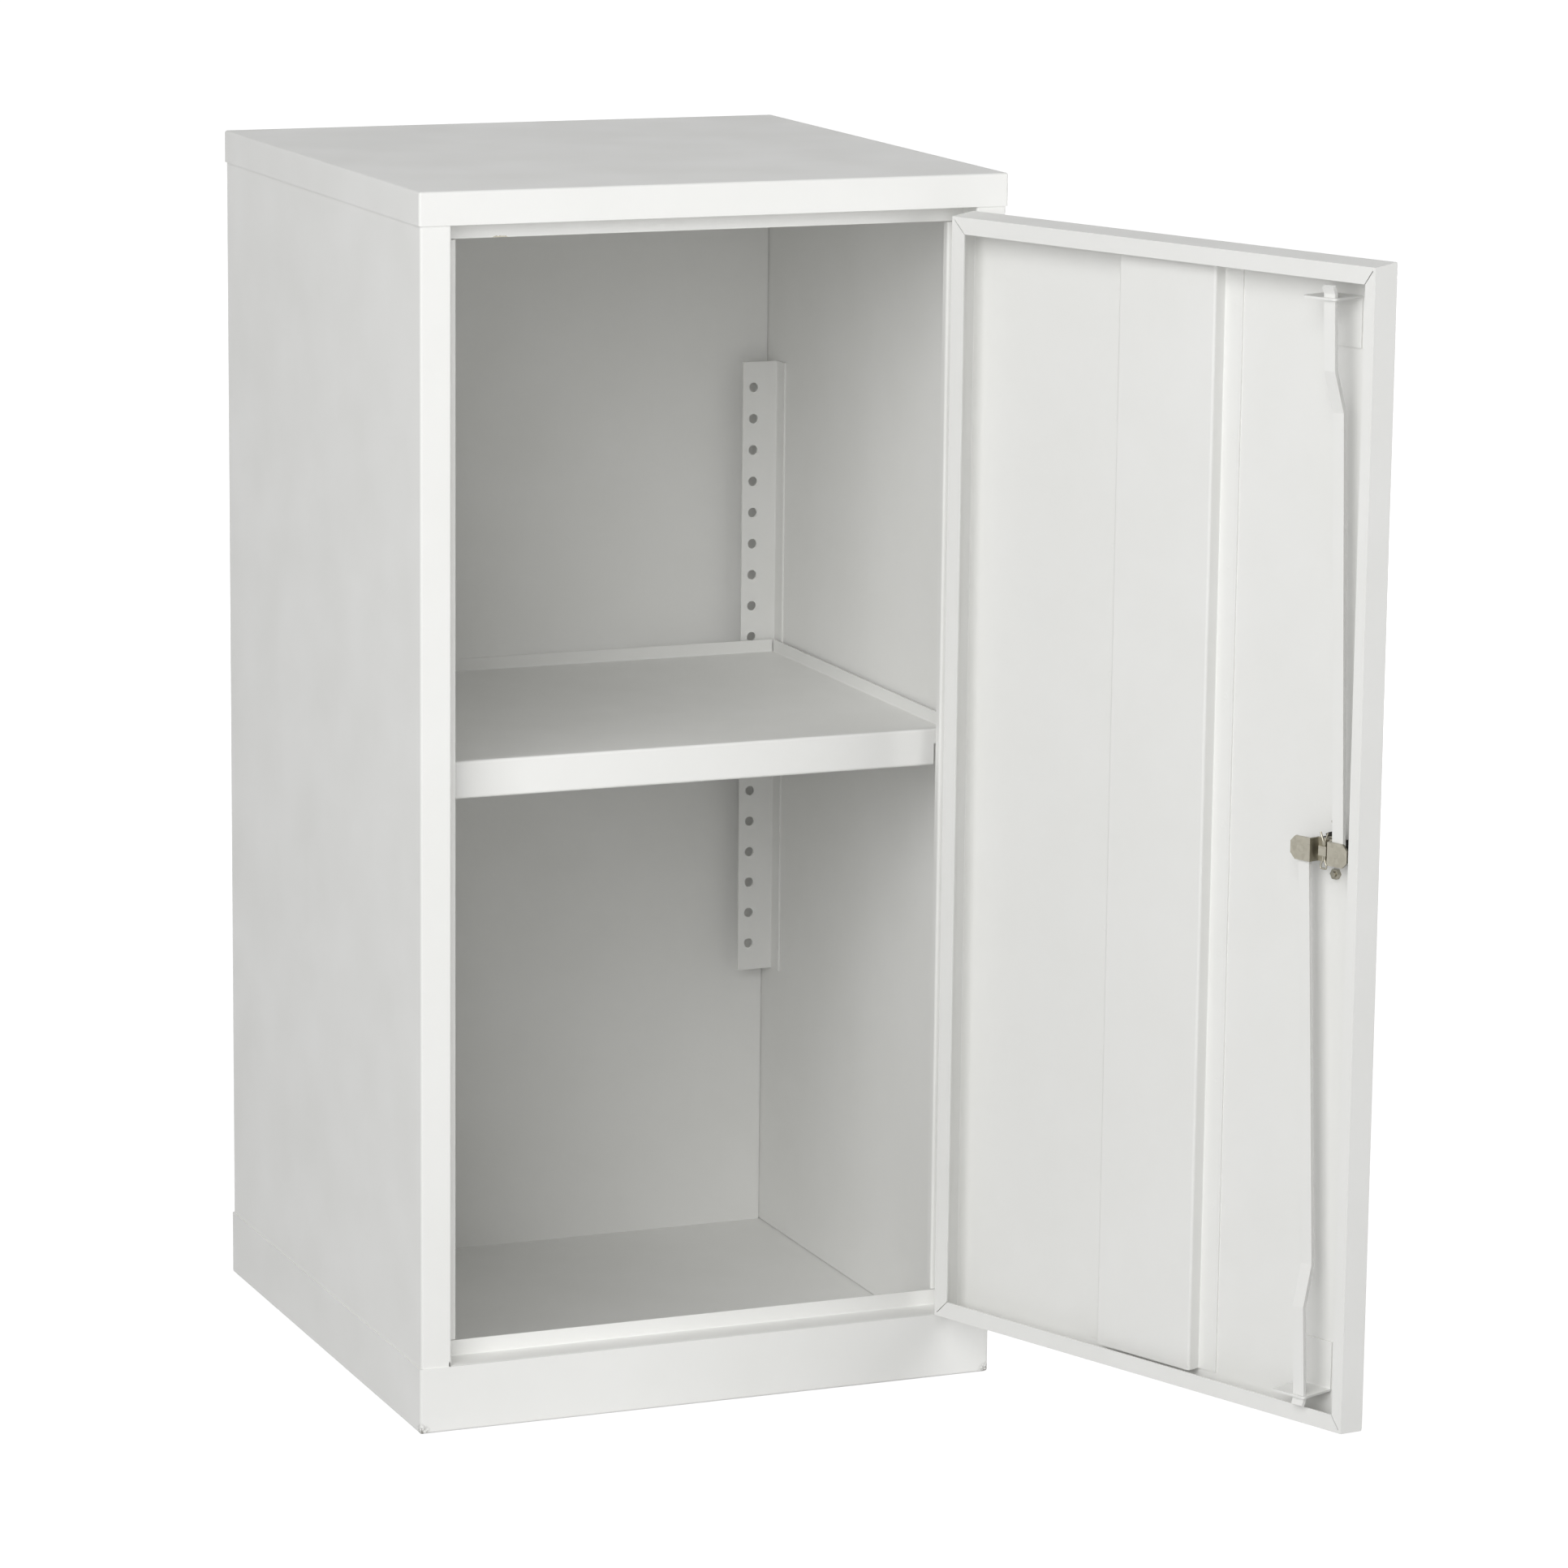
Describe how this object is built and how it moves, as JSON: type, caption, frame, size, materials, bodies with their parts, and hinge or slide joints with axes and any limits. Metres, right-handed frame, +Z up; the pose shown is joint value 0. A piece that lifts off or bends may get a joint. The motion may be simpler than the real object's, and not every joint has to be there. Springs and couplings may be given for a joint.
{
  "type": "single-door steel floor cupboard",
  "caption": "White steel floor cupboard with a hinged door, a lipped shelf, a spill sump and a handle that works locking rods.",
  "frame": {"origin": "centre of the footprint of the lid and sump, on the floor", "axes": "+X to the right and +Y to the back as seen from the door side, +Z up; the door stands open at rest"},
  "size_m": [0.5905, 0.8469, 0.915],
  "materials": {
    "white_powder_coat": "white powder coat, fine orange peel, semi-gloss",
    "zinc_plate": "zinc plate, slightly yellowed",
    "blackened_steel": "blackened steel",
    "satin_chrome": "satin chrome plate"
  },
  "bodies": {
    "cabinet": {"lid": "white_powder_coat", "base_sump": "white_powder_coat", "left_side": "white_powder_coat", "right_side": "white_powder_coat", "back_panel": "white_powder_coat", "header_rail": "white_powder_coat", "sill_rail": "white_powder_coat", "rear_left_angle": "white_powder_coat", "rear_right_angle": "white_powder_coat", "front_left_angle": "white_powder_coat", "front_right_angle": "white_powder_coat", "shelf_clips": "zinc_plate", "upper_hinge_frame_leaf": "white_powder_coat", "lower_hinge_frame_leaf": "white_powder_coat", "upper_hinge_pin": "zinc_plate", "lower_hinge_pin": "zinc_plate"},
    "door": {"door_pan": "white_powder_coat", "door_stiffener": "white_powder_coat", "upper_rod_guide": "white_powder_coat", "lower_rod_guide": "white_powder_coat", "escutcheon": "satin_chrome", "escutcheon_screws": "zinc_plate", "escutcheon_nuts": "zinc_plate", "lock_bush": "zinc_plate", "lock_nut": "blackened_steel", "upper_hinge_door_leaf": "white_powder_coat", "lower_hinge_door_leaf": "white_powder_coat"},
    "latch": {"handle": "satin_chrome", "handle_spindle": "zinc_plate", "latch_cam": "zinc_plate", "cam_pivots": "zinc_plate", "split_pin": "zinc_plate"},
    "upper_bolt": {"upper_rod": "white_powder_coat"},
    "lower_bolt": {"lower_rod": "white_powder_coat"},
    "key": {"key_barrel": "satin_chrome"},
    "shelf_tray": {"shelf": "white_powder_coat"}
  },
  "joints": [
    {"name": "door_swing", "type": "hinge", "parent": "cabinet", "child": "door", "pos_m": [0.2024, -0.2316, 0.47], "axis": [0, 0, 1], "range_deg": [-112, 63]},
    {"name": "latch_turn", "type": "hinge", "parent": "door", "child": "latch", "pos_m": [0.33702, -0.57228, 0.471], "axis": [-0.9272, -0.3746, 0], "range_deg": [0, 90]},
    {"name": "upper_rod_slide", "type": "slide", "parent": "door", "child": "upper_bolt", "axis": [-0.0132, 0.0326, 0.9994], "range_m": [0, 0.0157]},
    {"name": "lower_rod_slide", "type": "slide", "parent": "door", "child": "lower_bolt", "axis": [0.0168, -0.0415, -0.999], "range_m": [0, 0.0157]},
    {"name": "key_turn", "type": "hinge", "parent": "latch", "child": "key", "pos_m": [0.35557, -0.56478, 0.471], "axis": [-0.9272, -0.3746, 0], "range_deg": [0, 90]},
    {"name": "shelf_lift", "type": "slide", "parent": "cabinet", "child": "shelf_tray", "axis": [0, 0, 1], "range_m": [0, 0.15]}
  ],
  "couplings": [
    {"joint": "upper_rod_slide", "follows": "latch_turn", "m_per_rad": 0.00999},
    {"joint": "lower_rod_slide", "follows": "latch_turn", "m_per_rad": 0.00999}
  ]
}
